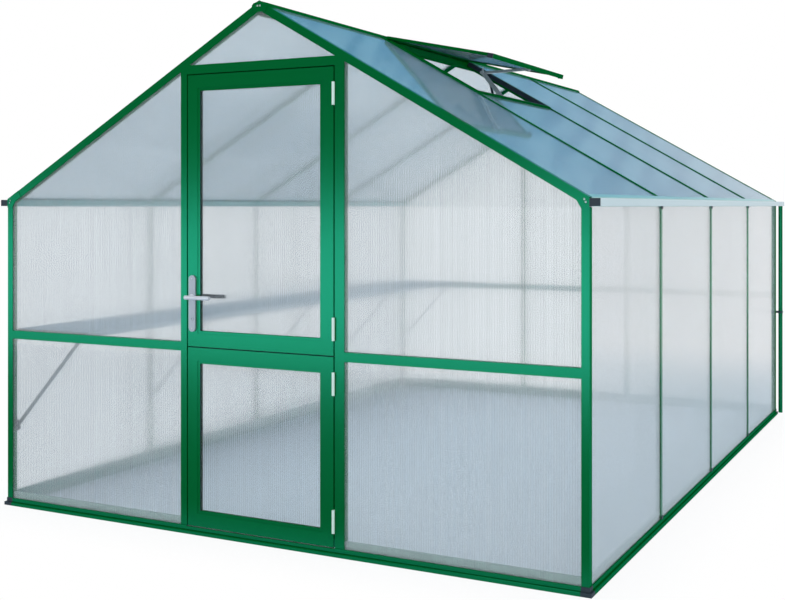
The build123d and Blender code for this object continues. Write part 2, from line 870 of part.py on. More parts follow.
def window_opener():
    """Folding-arm opener: bracket, paired lower arms, hub with its stop nut, upper arm and lid bracket."""
    y_low, y_high = window_span()
    middle = (y_low + y_high) / 2
    base, hub, lid_pivot = opener_pivots()
    outer = arm_pair_gap / 2 + arm_thickness
    half = upper_arm_width / 2
    opener = base_bracket(middle) + lid_bracket(middle) + lower_arms(base, hub, middle)
    opener += link(hub, lid_pivot, upper_arm_width, middle - half, middle + half)
    opener += pin(base, pivot_radius, middle - outer - arm_thickness, middle + outer + arm_thickness)
    opener += pin(hub, hub_radius, middle - outer - hub_overhang, middle + outer + hub_overhang)
    opener += pin(lid_pivot, pivot_radius, middle - half - arm_thickness, middle + half + arm_thickness)
    nut_low = Pos(hub[0], middle, hub[1])
    opener += extrude(nut_low * Circle(stop_nut_radius), stop_nut_rise)
    return opener + wax_tube(base, hub, middle)


# Shelf

def shelf_trays():
    """One folded tray for each bay, laid end to end along the left wall."""
    trays = []
    for index in range(bay_count):
        y_low = index * bay_width - half_length + shelf_joint / 2
        y_high = y_low + bay_width - shelf_joint
        if index == 0:
            y_low = frame_depth + shelf_end_gap - half_length
        if index == bay_count - 1:
            y_high = half_length - frame_depth - shelf_end_gap
        x_low, x_high = shelf_wall, shelf_wall + shelf_depth
        tray = block(x_low, x_high, y_low, y_high, shelf_height - shelf_fold, shelf_height)
        tray -= block(x_low + shelf_sheet, x_high - shelf_sheet, y_low, y_high,
                      shelf_height - shelf_fold, shelf_height - shelf_sheet)
        trays.append(tray)
    return trays


def arm_stations():
    """An arm at each wall bar, and one against the mid rail of either gable."""
    end = half_length - frame_depth - arm_width / 2
    return [-end] + stations + [end]


def arm_bottom():
    return shelf_height - shelf_sheet - arm_height


def shelf_arm(y):
    half = arm_width / 2
    x_low, x_high = shelf_wall + shelf_sheet, shelf_wall + shelf_depth - shelf_sheet
    return block(x_low, x_high, y - half, y + half, arm_bottom(), arm_bottom() + arm_height)


def shelf_strut(y):
    """Flat diagonal strut, cut upright at its wall plate and level under its arm."""
    foot, head = shelf_wall, shelf_wall + shelf_depth - strut_head_inset
    rise, span = arm_bottom() - strut_foot_height, head - foot
    stretch = strut_width * hypot(span, rise)
    points = [
        (foot, strut_foot_height), (foot, strut_foot_height + stretch / span),
        (head - stretch / rise, arm_bottom()), (head, arm_bottom()),
    ]
    return across(points, y - strut_thickness / 2, y + strut_thickness / 2)


def wall_plate(back, y_low, y_high, z_low):
    return block(back - half_width, shelf_wall, y_low, y_high, z_low, z_low + wall_plate_height)


def wall_plates():
    """Plates under the struts' feet and behind the trays, on wall bars; the end ones lap a corner post."""
    half = wall_plate_width / 2
    foot_low = strut_foot_height - wall_plate_below_foot
    head_low = shelf_height - shelf_sheet - wall_plate_height
    lows = (foot_low, head_low)
    plates = [wall_plate(bar_depth, y - half, y + half, low) for y in stations for low in lows]
    lapped_to = half_length - frame_depth + wall_plate_lap
    end_plate = wall_plate(post_face, -lapped_to, arm_stations()[0] + half, foot_low)
    return plates + [end_plate, to_back(end_plate)]


# Door hinges

def hinge_axis():
    x = door_right - leaf_side_gap / 2
    y = -half_length - hinge_face_gap - hinge_radius
    return x, y


def knuckle(z_low, z_high, bore=0.0):
    x, y = hinge_axis()
    ring = Circle(hinge_radius) - Circle(bore) if bore else Circle(hinge_radius)
    return extrude(Pos(x, y, z_low) * ring, z_high - z_low)


def knuckle_heights(z):
    third = hinge_length / 3
    return z - hinge_length / 2, z - third / 2, z + third / 2, z + hinge_length / 2


def fixed_hinge(z):
    """Frame half: outer knuckles, pin and the plate against the door post."""
    x, y = hinge_axis()
    low, middle_low, middle_high, high = knuckle_heights(z)
    plate_low, plate_high = door_right - hinge_plate, door_right
    front, back = -half_length, -half_length + hinge_plate_depth
    half = knuckle(low, middle_low) + knuckle(middle_high, high)
    half += extrude(Pos(x, y, middle_low) * Circle(hinge_pin_radius), middle_high - middle_low)
    half += block(plate_low, plate_high, y, back, low, middle_low)
    half += block(plate_low, plate_high, y, back, middle_high, high)
    half += block(plate_low, plate_high, front, back, middle_low, middle_high)
    return half


def leaf_hinge(z):
    """Leaf half: the middle knuckle and the plate against the leaf's edge."""
    x, y = hinge_axis()
    low, middle_low, middle_high, high = knuckle_heights(z)
    knuckle_low, knuckle_high = middle_low + knuckle_gap, middle_high - knuckle_gap
    front, back = -half_length, -half_length + hinge_plate_depth
    plate_high = leaf_right + hinge_plate
    half = knuckle(knuckle_low, knuckle_high)
    half += block(leaf_right, plate_high, y, back, knuckle_low, knuckle_high)
    half += block(leaf_right, plate_high, front, back, low, high)
    bore = Pos(x, y, knuckle_low) * Circle(hinge_pin_radius + hinge_pin_play)
    return half - extrude(bore, knuckle_high - knuckle_low)


# Door leaves

def in_leaf(past, y_low, y_high, z_low, z_high):
    """The leaf's opening between two depths, grown by a given amount on all four sides."""
    side, end = leaf_stile - past, leaf_rail - past
    return block(leaf_left + side, leaf_right - side, y_low, y_high, z_low + end, z_high - end)


def leaf_frame(z_low, z_high):
    """Stiles and rails with a stepped glazing bead and a slot for the sheet."""
    front, back = -half_length, -half_length + leaf_depth
    slot_front = front + leaf_sheet_setback
    frame = block(leaf_left, leaf_right, front, back, z_low, z_high)
    frame -= in_leaf(0, front, back, z_low, z_high)
    frame -= in_leaf(leaf_bead, front, front + leaf_bead_step, z_low, z_high)
    return frame - in_leaf(slot_depth, slot_front, slot_front + slot_width, z_low, z_high)


def leaf_sheet(z_low, z_high):
    front = -half_length + leaf_sheet_setback + slot_play
    return in_leaf(slot_reach, front, front + sheet_thickness, z_low, z_high)


def facing(y, direction):
    """Sketch plane on a leaf face, with its first axis along X and its second up."""
    return Plane(origin=(0, y, 0), x_dir=(direction, 0, 0), z_dir=(0, -direction, 0))


def handle_plate(outside):
    """Long plate with round ends, bored for the lever, and the lock cylinder below it."""
    direction = 1 if outside else -1
    y = -half_length if outside else -half_length + leaf_depth
    plane = facing(y, direction)
    x = lever_x * direction
    tall = plate_top - plate_bottom
    plate = Pos(x, (plate_top + plate_bottom) / 2) * Rot(0, 0, 90) * SlotOverall(tall, plate_width)
    bore = Pos(x, lever_height) * Circle(lever_hub_radius + lever_play)
    solid = extrude(plane * (plate - bore), plate_thickness)
    key = extrude(plane * (Pos(x, key_height) * Circle(key_radius)), plate_thickness + key_proud)
    return solid + key


def lever(outside):
    """Hub and lever of one side; the lever points towards the middle of the leaf."""
    direction = 1 if outside else -1
    y = -half_length - lever_play if outside else -half_length + leaf_depth + lever_play
    plane = facing(y, direction)
    x = lever_x * direction
    bar_out = lever_proud - lever_radius
    hub = extrude(plane * (Pos(x, lever_height) * Circle(lever_hub_radius)), plate_thickness + lever_play)
    neck = extrude(plane * (Pos(x, lever_height) * Circle(lever_neck_radius)), bar_out)
    middle = Pos(lever_x + (lever_reach - lever_radius) / 2, y - direction * bar_out, lever_height)
    bar = middle * Rot(0, 90, 0) * Cylinder(lever_radius, lever_reach + lever_radius)
    return hub + neck + bar


def spindle():
    front = facing(-half_length - lever_play, 1)
    rod = Pos(lever_x, lever_height) * Circle(spindle_radius)
    return extrude(front * rod, -(leaf_depth + 2 * lever_play))


def with_spindle_bore(frame):
    plane = facing(-half_length - cut_past, 1)
    bore = Pos(lever_x, lever_height) * Circle(spindle_radius + lever_play)
    return frame - extrude(plane * bore, -(leaf_depth + 2 * cut_past))


def door_handle():
    return lever(True) + lever(False) + spindle()


# Write every node

os.makedirs("parts", exist_ok=True)

lower_span = (threshold_top + leaf_gap, leaf_split - leaf_gap / 2)
upper_span = (leaf_split + leaf_gap / 2, lintel_bottom - leaf_gap)

save("base_front", front_sill() - threshold_cut())
save("base_back", to_back(front_sill()))
save("base_left", left_sill())
save("base_right", to_right(left_sill()))
save("base_corner_caps", *four_corners(corner_cap()))
save("corner_posts", *four_corners(corner_post()))
save("door_posts", door_post(latch_post_face) - plate_notch(), to_right(door_post(hinge_post_face)))
save("door_lintel", lintel())
save("front_mid_rails", *both_sides(side_mid_rail()))
save("back_posts", *[to_back(one) for one in both_sides(back_post())])
save("back_mid_rails", *[to_back(one) for one in both_sides(side_mid_rail()) + [middle_mid_rail()]])
save("front_rafters", *both_sides(rafter()))
save("back_rafters", *[to_back(one) for one in both_sides(rafter())])
save("ridge", ridge())
save("eave_beams", *both_sides(eave_beam()))
save("wall_bars", *[one for y in stations for one in both_sides(wall_bar(y))])
clips = [clip for y in stations for clip in wall_bar_clips(y)]
save("wall_bar_clips", *[one for clip in clips for one in both_sides(clip)])
save("left_roof_bars", *[roof_bar(y) for y in stations])
save("right_roof_bars", *[to_right(roof_bar(y)) for y in stations])
save("gutters", *both_sides(gutter()))
caps = [gutter_cap(-half_length - gutter_cap_thickness), gutter_cap(gutter_end())]
save("gutter_caps", *[one for cap in caps for one in both_sides(cap)])
save("downpipes", *both_sides(downpipe()))
save("pipe_clips", *both_sides(pipe_clip(pipe_clip_above_ground)))
save("gusset_plates", apex_plate(), to_back(apex_plate()), *four_corners(knee_plate()))
front_sheets = [one for sheet in side_gable_sheets() for one in both_sides(sheet)]
save("front_sheets", *front_sheets, over_door_sheet())
save("back_sheets", *[to_back(one) for one in front_sheets + back_middle_sheets()])
left_sheets = [wall_sheet(i) for i in range(bay_count)]
save("left_wall_sheets", *left_sheets)
save("right_wall_sheets", *[to_right(one) for one in left_sheets])
save("left_roof_sheets", *[to_right(roof_sheet(i)) for i in range(bay_count)])
below_window = window_reach - slot_reach
starts = [below_window if i == window_bay else None for i in range(bay_count)]
save("right_roof_sheets", *[roof_sheet(i, start) for i, start in enumerate(starts)])
save("window_curb", curb())
save("window_seal", window_seal())
save("window_lid", lid())
save("window_sheet", lid_sheet())
save("lid_end_caps", *lid_end_caps())
save("window_opener", window_opener())
save("shelf", *shelf_trays())
save("shelf_arms", *[shelf_arm(y) for y in arm_stations()])
save("shelf_struts", *[shelf_strut(y) for y in arm_stations()])
save("shelf_wall_plates", *wall_plates())
save("frame_hinges", *[fixed_hinge(z) for z in hinge_heights])
save("lower_leaf", leaf_frame(*lower_span))
save("lower_leaf_sheet", leaf_sheet(*lower_span))
save("lower_leaf_hinges", *[leaf_hinge(z) for z in hinge_heights if z < leaf_split])
save("upper_leaf", with_spindle_bore(leaf_frame(*upper_span)))
save("upper_leaf_sheet", leaf_sheet(*upper_span))
save("upper_leaf_hinges", *[leaf_hinge(z) for z in hinge_heights if z > leaf_split])
save("handle_plates", handle_plate(True), handle_plate(False))
save("door_handle", door_handle())
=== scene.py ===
import json
import math

import bmesh
import bpy
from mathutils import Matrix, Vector


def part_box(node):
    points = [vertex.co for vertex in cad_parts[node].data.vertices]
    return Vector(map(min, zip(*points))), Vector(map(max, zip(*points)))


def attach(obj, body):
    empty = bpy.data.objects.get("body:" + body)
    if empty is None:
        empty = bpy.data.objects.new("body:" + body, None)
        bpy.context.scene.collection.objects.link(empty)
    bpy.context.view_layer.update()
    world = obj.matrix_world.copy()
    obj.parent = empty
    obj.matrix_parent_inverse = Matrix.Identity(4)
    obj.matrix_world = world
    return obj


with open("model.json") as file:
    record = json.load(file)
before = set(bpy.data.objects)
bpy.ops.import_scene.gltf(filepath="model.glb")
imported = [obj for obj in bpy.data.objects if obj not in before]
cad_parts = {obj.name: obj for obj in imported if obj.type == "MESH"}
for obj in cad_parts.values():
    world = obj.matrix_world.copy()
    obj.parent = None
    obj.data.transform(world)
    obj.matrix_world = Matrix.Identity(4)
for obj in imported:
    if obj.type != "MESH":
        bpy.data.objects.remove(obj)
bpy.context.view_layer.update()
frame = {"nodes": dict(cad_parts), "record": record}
print("frame:", len(frame["nodes"]), "CAD nodes")


class Wire:
    # A socket in a material. Plain sums and products of wires and numbers become Math nodes.
    def __init__(self, paint, socket):
        self.paint = paint
        self.socket = socket

    def joined(self, operation, first, second):
        if self.socket.type == "VECTOR":
            return self.paint.node("ShaderNodeVectorMath", {"operation": operation}, {0: first, 1: second})
        return self.paint.node("ShaderNodeMath", {"operation": operation}, {0: first, 1: second})

    def __add__(self, other):
        return self.joined("ADD", self, other)

    def __radd__(self, other):
        return self.joined("ADD", other, self)

    def __sub__(self, other):
        return self.joined("SUBTRACT", self, other)

    def __rsub__(self, other):
        return self.joined("SUBTRACT", other, self)

    def __mul__(self, other):
        return self.joined("MULTIPLY", self, other)

    def __rmul__(self, other):
        return self.joined("MULTIPLY", other, self)

    def __pow__(self, other):
        return self.joined("POWER", self, other)


class Paint:
    # A material, built node by node.
    def __init__(self, name, tree=None):
        self.material = None
        if tree is None:
            self.material = bpy.data.materials.new(name)
            self.material.use_nodes = True
            tree = self.material.node_tree
        self.tree = tree
        self.tree.nodes.clear()

    def node(self, kind, settings=None, inputs=None, out=0):
        made = self.tree.nodes.new(kind)
        for name, value in (settings or {}).items():
            setattr(made, name, value)
        for name, value in (inputs or {}).items():
            if isinstance(value, Wire):
                self.tree.links.new(value.socket, made.inputs[name])
            else:
                made.inputs[name].default_value = value
        return Wire(self, made.outputs[out]) if len(made.outputs) else made

    def place(self):
        # the point on the piece, in metres in the building's own frame
        return self.node("ShaderNodeTexCoord", out="Object")

    def parts(self, vector):
        split = self.node("ShaderNodeSeparateXYZ", inputs={0: vector})
        outputs = split.socket.node.outputs
        return [Wire(self, outputs[i]) for i in range(3)]

    def plain(self, operation, *values):
        # arithmetic that has no sign of its own, on plain numbers
        return self.node("ShaderNodeMath", {"operation": operation}, dict(enumerate(values)))

    def noise(self, vector, perMetre, detail=3.0):
        inputs = {"Vector": vector, "Scale": perMetre, "Detail": detail}
        return self.node("ShaderNodeTexNoise", {"noise_dimensions": "3D"}, inputs)

    def ramp(self, value, low, high, toLow=0.0, toHigh=1.0):
        inputs = {0: value, 1: low, 2: high, 3: toLow, 4: toHigh}
        return self.node("ShaderNodeMapRange", {"interpolation_type": "SMOOTHSTEP"}, inputs)

    def wave(self, value, pitch):
        # from 0 to 1 and back once in each pitch
        return self.plain("SINE", value * (2 * math.pi / pitch)) * 0.5 + 0.5

    def mixed(self, share, first, second):
        inputs = {0: share, 6: solid(first), 7: solid(second)}
        return self.node("ShaderNodeMix", {"data_type": "RGBA"}, inputs, out=2)

    def bump(self, height, distance):
        return self.node("ShaderNodeBump", inputs={"Height": height, "Distance": distance, "Strength": 1.0})

    def glow(self, colour):
        return self.node("ShaderNodeEmission", inputs={"Color": solid(colour), "Strength": 1.0})

    def principled(self, **inputs):
        named = {name.replace("_", " "): solid(value) for name, value in inputs.items()}
        return self.node("ShaderNodeBsdfPrincipled", inputs=named)

    def blend(self, share, first, second):
        return self.node("ShaderNodeMixShader", inputs={0: share, 1: first, 2: second})

    def done(self, shader):
        self.node("ShaderNodeOutputMaterial", inputs={"Surface": shader})
        return self.material


def solid(value):
    # a written colour gets its fourth number
    return (*value, 1.0) if isinstance(value, tuple) and len(value) == 3 else value


greenCoat = {
    "colour": (0.0, 0.107, 0.012),
    "worn": (0.0, 0.098, 0.010),
    "sheen": (0.05, 0.82, 0.58),
    "sheenShare": 0.10,
    "roughness": 0.23,
    "lacquer": 0.0,
}

lacqueredCoat = {**greenCoat, "lacquer": 1.0}
shadedCoat = {**greenCoat, "sheenShare": 0.02}
# the eave beams: the frame's green painted pale teal, a painted sheen for the grazing reflection on their
# outer strip and painted light on their shaded inner face
eavePaintedLightCoat = {**lacqueredCoat, "colour": (0.26, 0.50, 0.53), "worn": (0.23, 0.46, 0.49)}


def greenFrame(name, look):
    # satin powder coat: flat dark green with a share of tinted sheen; a lacquered face has a clear coat too
    paint = Paint(name)
    place = paint.place()
    cloud = paint.noise(place, 2.5)
    grain = paint.noise(place, 900.0, 1.0)
    rough = look["roughness"] + 0.08 * (cloud - 0.5)
    bump = paint.bump(grain, 0.00002)
    coat = paint.principled(
        Base_Color=paint.mixed(cloud, look["colour"], look["worn"]),
        Roughness=rough,
        Specular_IOR_Level=0.0,
        Coat_Weight=look["lacquer"],
        Coat_Roughness=0.08,
        Normal=bump,
    )
    sheen = paint.node(
        "ShaderNodeBsdfGlossy", inputs={"Color": solid(look["sheen"]), "Roughness": rough, "Normal": bump}
    )
    return paint.done(paint.blend(look["sheenShare"], coat, sheen))


ribs = {
    "pitch": 0.0105,
    "opacity": 0.16,
    "shade": 0.88,
    "weld": 0.00001,
}

gableSheet = {
    "colour": (0.93, 0.97, 1.0),
    "through": (0.93, 0.97, 1.0),
    "tint": (0.972, 0.992, 1.0),
    "frost": 0.26,
    "milk": 0.14,
    "bend": 1.3,
    "shine": 0.12,
    "pillow": 0.0003,
    "lacquer": 0.0,
}

doorSheet = {**gableSheet, "frost": 0.14, "milk": 0.08}

wallSheet = {
    **gableSheet,
    "colour": (0.92, 0.96, 1.0),
    "through": (0.92, 0.96, 1.0),
    "tint": (0.975, 0.99, 1.0),
    "milk": 0.13,
    "shine": 0.5,
    "lacquer": 0.9,
}

# the roof sheets' milky colour is a dark sky blue: a painted reflection of the sky on the slopes
roofSheet = {
    **gableSheet,
    "colour": (0.17, 0.37, 0.53),
    "through": (0.73, 0.90, 1.0),
    "tint": (0.94, 0.98, 1.0),
    "frost": 0.30,
    "milk": 0.22,
    "shine": 0.5,
    "lacquer": 1.0,
}

# the lid's sheet is painted dark blue-grey: painted shade on its underside seen from below, and painted
# reflection, so that its mirrored image in the roof reads dark blue
lidSheet = {
    **gableSheet,
    "colour": (0.03, 0.08, 0.12),
    "through": (0.13, 0.25, 0.31),
    "tint": (0.13, 0.28, 0.34),
    "frost": 0.2,
    "milk": 0.30,
    "shine": 0.2,
    "pillow": 0.0002,
    "lacquer": 0.25,
}


def sheetPaint(name, look, axis):
    # a skin of twin-wall sheet: part clear, part frosted, a little milky; it bends the view beside each web
    paint = Paint(name)
    place = paint.place()
    along = paint.parts(place)[axis]
    pillow = paint.ramp(paint.wave(along, ribs["pitch"]), 0.0, 0.45)
    stripes = {"W": along, "Scale": 40.0, "Detail": 3.0}
    streak = paint.node("ShaderNodeTexNoise", {"noise_dimensions": "1D"}, stripes)
    cloud = paint.noise(place, 2.2)
    web = (1 - pillow) * (0.4 + 1.2 * streak)
    skin = {
        "Base_Color": paint.mixed(web, look["tint"], tuple(part * ribs["shade"] for part in look["tint"])),
        "IOR": look["bend"],
        "Specular_IOR_Level": look["shine"],
        "Transmission_Weight": 1.0,
        "Coat_Weight": look["lacquer"],
        "Coat_Roughness": 0.06,
        "Coat_IOR": 1.5,
    }
    clear = paint.principled(Roughness=0.02, Normal=paint.bump(pillow, look["pillow"]), **skin)
    frosted = paint.principled(Roughness=0.18, **skin)
    milky = paint.blend(
        0.5,
        paint.node("ShaderNodeBsdfDiffuse", inputs={"Color": solid(look["colour"])}),
        paint.node("ShaderNodeBsdfTranslucent", inputs={"Color": solid(look["through"])}),
    )
    frost = look["frost"] * (0.6 + 0.4 * cloud + 0.4 * streak)
    milk = look["milk"] * (0.2 + 0.6 * cloud + streak)
    return paint.done(paint.blend(milk, paint.blend(frost, clear, frosted), milky))


def ribPaint(name, look):
    # a web between the two skins: mostly clear, a little milky
    paint = Paint(name)
    milky = paint.node("ShaderNodeBsdfTranslucent", inputs={"Color": solid(look["through"])})
    clear = paint.node("ShaderNodeBsdfTransparent", inputs={"Color": (0.98, 0.99, 1.0, 1.0)})
    return paint.done(paint.blend(ribs["opacity"], clear, milky))


finishes = {
    "darkPlastic": {"colour": (0.018, 0.030, 0.044), "worn": (0.032, 0.046, 0.062), "roughness": 0.45},
    "bareAluminium": {"colour": (0.74, 0.76, 0.78), "worn": (0.64, 0.66, 0.69), "roughness": 0.34},
    "brightMetal": {"colour": (0.34, 0.39, 0.45), "worn": (0.28, 0.33, 0.38), "roughness": 0.34},
    "shelfMetal": {"colour": (0.45, 0.55, 0.63), "worn": (0.40, 0.50, 0.58), "roughness": 0.38},
    "leverMetal": {"colour": (0.60, 0.64, 0.71), "worn": (0.52, 0.56, 0.62), "roughness": 0.30},
    "paleHinge": {"colour": (0.64, 0.80, 0.73), "worn": (0.56, 0.71, 0.65), "roughness": 0.35},
    "paleGutter": {"colour": (0.49, 0.62, 0.66), "worn": (0.43, 0.55, 0.59), "roughness": 0.32},
    "zincScrew": {"colour": (0.72, 0.75, 0.76), "worn": (0.60, 0.63, 0.65), "roughness": 0.25},
    "keyholeShade": {"colour": (0.012, 0.013, 0.014), "worn": (0.02, 0.02, 0.022), "roughness": 0.60},
}


def darkPlastic():
    # moulded caps, clips and seals, with a fine grain
    look = finishes["darkPlastic"]
    paint = Paint("DarkPlastic")
    grain = paint.noise(paint.place(), 700.0, 2.0)
    return paint.done(paint.principled(
        Base_Color=paint.mixed(grain * 0.4, look["colour"], look["worn"]),
        Roughness=look["roughness"] + 0.1 * grain,
        Specular_IOR_Level=0.2,
        Normal=paint.bump(grain, 0.00004),
    ))


def bareAluminium():
    # mill finish, with fine lines along the draw
    look = finishes["bareAluminium"]
    paint = Paint("BareAluminium")
    place = paint.place()
    cloud = paint.noise(place, 6.0)
    drawn = paint.noise(place * (400.0, 6.0, 400.0), 1.0, 2.0)
    return paint.done(paint.principled(
        Base_Color=paint.mixed(cloud * 0.5, look["colour"], look["worn"]),
        Metallic=0.85,
        Roughness=look["roughness"] + 0.12 * drawn,
        Normal=paint.bump(drawn, 0.00002),
    ))


def brightMetal():
    # the handle plates, brushed level
    look = finishes["brightMetal"]
    paint = Paint("BrightMetal")
    place = paint.place()
    brushed = paint.noise(place * (60.0, 60.0, 900.0), 1.0, 2.0)
    return paint.done(paint.principled(
        Base_Color=paint.mixed(brushed * 0.4, look["colour"], look["worn"]),
        Metallic=0.1,
        Roughness=look["roughness"] + 0.1 * brushed,
        Specular_IOR_Level=0.3,
        Normal=paint.bump(brushed, 0.00001),
    ))


def shelfMetal():
    # the shelf's decks, drawn lengthways
    look = finishes["shelfMetal"]
    paint = Paint("ShelfMetal")
    place = paint.place()
    drawn = paint.noise(place * (300.0, 5.0, 300.0), 1.0, 2.0)
    return paint.done(paint.principled(
        Base_Color=paint.mixed(drawn * 0.5, look["colour"], look["worn"]),
        Metallic=0.4,
        Roughness=look["roughness"] + 0.1 * drawn,
        Normal=paint.bump(drawn, 0.00002),
    ))


def leverMetal():
    look = finishes["leverMetal"]
    paint = Paint("LeverMetal")
    cloud = paint.noise(paint.place(), 120.0)
    return paint.done(paint.principled(
        Base_Color=paint.mixed(cloud * 0.4, look["colour"], look["worn"]),
        Metallic=0.1,
        Roughness=look["roughness"] + 0.1 * cloud,
        Specular_IOR_Level=0.3,
    ))


def paleHinge():
    look = finishes["paleHinge"]
    paint = Paint("PaleHinge")
    cloud = paint.noise(paint.place(), 60.0)
    return paint.done(paint.principled(
        Base_Color=paint.mixed(cloud * 0.5, look["colour"], look["worn"]),
        Roughness=look["roughness"] + 0.1 * cloud,
        Specular_IOR_Level=0.2,
    ))


def paleGutter():
    # pale powder coat over the gutter's fine level lines
    look = finishes["paleGutter"]
    paint = Paint("PaleGutter")
    place = paint.place()
    lines = paint.wave(paint.parts(place)[2], 0.0052) ** 6.0
    cloud = paint.noise(place, 4.0)
    return paint.done(paint.principled(
        Base_Color=paint.mixed(cloud * 0.5, look["colour"], look["worn"]),
        Roughness=look["roughness"],
        Specular_IOR_Level=0.4,
        Normal=paint.bump(lines, 0.0003),
    ))


def screwMetal():
    look = finishes["zincScrew"]
    paint = Paint("ZincScrew")
    cloud = paint.noise(paint.place(), 400.0)
    return paint.done(paint.principled(
        Base_Color=paint.mixed(cloud, look["colour"], look["worn"]),
        Metallic=0.9,
        Roughness=look["roughness"] + 0.1 * cloud,
    ))


# near-black for the key slot: painted shade, where the real slot is a hole
def paintedKeyholeShade():
    look = finishes["keyholeShade"]
    paint = Paint("KeyholeShade")
    cloud = paint.noise(paint.place(), 300.0)
    return paint.done(paint.principled(
        Base_Color=paint.mixed(cloud, look["colour"], look["worn"]),
        Roughness=look["roughness"],
    ))


gableSheetLook = sheetPaint("GableSheet", gableSheet, 0)
doorSheetLook = sheetPaint("DoorSheet", doorSheet, 0)
sideSheetLook = sheetPaint("SideSheet", wallSheet, 1)
roofSheetLook = sheetPaint("RoofSheet", roofSheet, 1)
lidSheetLook = sheetPaint("LidSheet", lidSheet, 1)
looks = {
    "green_frame": greenFrame("GreenPowderCoat", greenCoat),
    "dark_plastic": darkPlastic(),
    "bare_aluminium": bareAluminium(),
    "bright_metal": brightMetal(),
    "pale_gutter": paleGutter(),
    "window_sheet": lidSheetLook,
}
sheetLooks = {
    "front_sheets": gableSheetLook,
    "back_sheets": gableSheetLook,
    "upper_leaf_sheet": doorSheetLook,
    "lower_leaf_sheet": doorSheetLook,
    "left_wall_sheets": sideSheetLook,
    "right_wall_sheets": sideSheetLook,
    "left_roof_sheets": roofSheetLook,
    "right_roof_sheets": roofSheetLook,
}
hingeLook = paleHinge()
lacqueredGreen = greenFrame("GreenLacquered", lacqueredCoat)
ownLooks = {node: hingeLook for node in ("frame_hinges", "upper_leaf_hinges", "lower_leaf_hinges")}
ownLooks.update({"shelf": shelfMetal(), "door_handle": leverMetal()})
# the eave beams wear the pale teal of painted sheen and painted light
ownLooks.update({"wall_bars": lacqueredGreen, "eave_beams": greenFrame("EavePaintedLight", eavePaintedLightCoat)})
shadedGreen = greenFrame("GreenShaded", shadedCoat)
ownLooks.update({node: shadedGreen for node in ("window_lid", "window_curb", "ridge")})
slots = {part["node"]: part["material_slot"] for part in frame["record"]["subparts"]}
bodies = {node: body for body, nodes in frame["record"]["behaviour"]["bodies"].items() for node in nodes}
for node, piece in frame["nodes"].items():
    material = sheetLooks.get(node) or ownLooks.get(node) or looks[slots[node]]
    piece.data.materials.clear()
    piece.data.materials.append(material)


def otherFaces(node, material, within):
    # the faces that the test accepts get a material of their own
    mesh = frame["nodes"][node].data
    mesh.materials.append(material)
    for face in mesh.polygons:
        if within(face):
            face.material_index = len(mesh.materials) - 1


# the opener's cylinder: its upper end as (x, z), its lean in degrees, and how far below the end it starts
waxTube = {"top": (0.4107, 2.1138), "lean": 14.0, "radius": 0.0085, "clear": 0.012}


def onWaxTube(face):
    lean = math.radians(waxTube["lean"])
    x, z = face.center.x - waxTube["top"][0], face.center.z - waxTube["top"][1]
    down = x * math.sin(lean) - z * math.cos(lean)
    beside = x * math.cos(lean) + z * math.sin(lean)
    return down > waxTube["clear"] and abs(beside) < waxTube["radius"]


# the leaves' left reveals at this x get the dark plastic: painted shade, where the stile's inner side lies in
# shadow
shadedReveals = {"leftReveal": -0.3155, "within": 0.002}
sameFace = 0.0005


def onLeftReveal(face):
    return abs(face.center.x - shadedReveals["leftReveal"]) < shadedReveals["within"] and abs(face.normal.x) > 0.9


def onLeafSplit(face, height):
    return onLeftReveal(face) or abs(face.center.z - height) < sameFace


dark = looks["dark_plastic"]
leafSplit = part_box("upper_leaf")[0].z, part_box("lower_leaf")[1].z
otherFaces("window_opener", dark, onWaxTube)
otherFaces("door_handle", dark, lambda face: face.center.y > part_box("upper_leaf")[1].y)
# the faces along the split between the leaves and on their left reveals get the dark plastic: painted shade
# for the shadow gap
otherFaces("upper_leaf", dark, lambda face: onLeafSplit(face, leafSplit[0]))
otherFaces("lower_leaf", dark, lambda face: onLeafSplit(face, leafSplit[1]))
otherFaces("front_rafters", lacqueredGreen, lambda face: face.normal.z > 0.6)

# the sills and the back rails get a pale grey-green on their inner side: painted light, so that they read
# pale through the sheets where they lie in shade
innerPaintedLight = greenFrame("InnerPaintedLight", {**shadedCoat, "colour": (0.36, 0.50, 0.48), "worn": (0.33, 0.46, 0.44)})
frontInner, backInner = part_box("front_sheets")[1].y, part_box("back_sheets")[0].y
leftInner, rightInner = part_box("left_wall_sheets")[1].x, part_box("right_wall_sheets")[0].x
otherFaces("base_front", innerPaintedLight, lambda face: face.center.y > frontInner - sameFace)
otherFaces("base_back", innerPaintedLight, lambda face: face.center.y < backInner + sameFace)
otherFaces("base_left", innerPaintedLight, lambda face: face.center.x > leftInner - sameFace)
otherFaces("base_right", innerPaintedLight, lambda face: face.center.x < rightInner + sameFace)
otherFaces("back_mid_rails", innerPaintedLight, lambda face: face.center.y < backInner + sameFace)
print("materials:", len(bpy.data.materials))


def meshObject(name, corners, faces, material):
    mesh = bpy.data.meshes.new(name)
    mesh.from_pydata(corners, [], faces)
    mesh.update()
    mesh.materials.append(material)
    piece = bpy.data.objects.new(name, mesh)
    bpy.context.scene.collection.objects.link(piece)
    return piece


def meshPiece(name, corners, faces, material, body):
    piece = meshObject(name, corners, faces, material)
    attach(piece, body)
    return piece


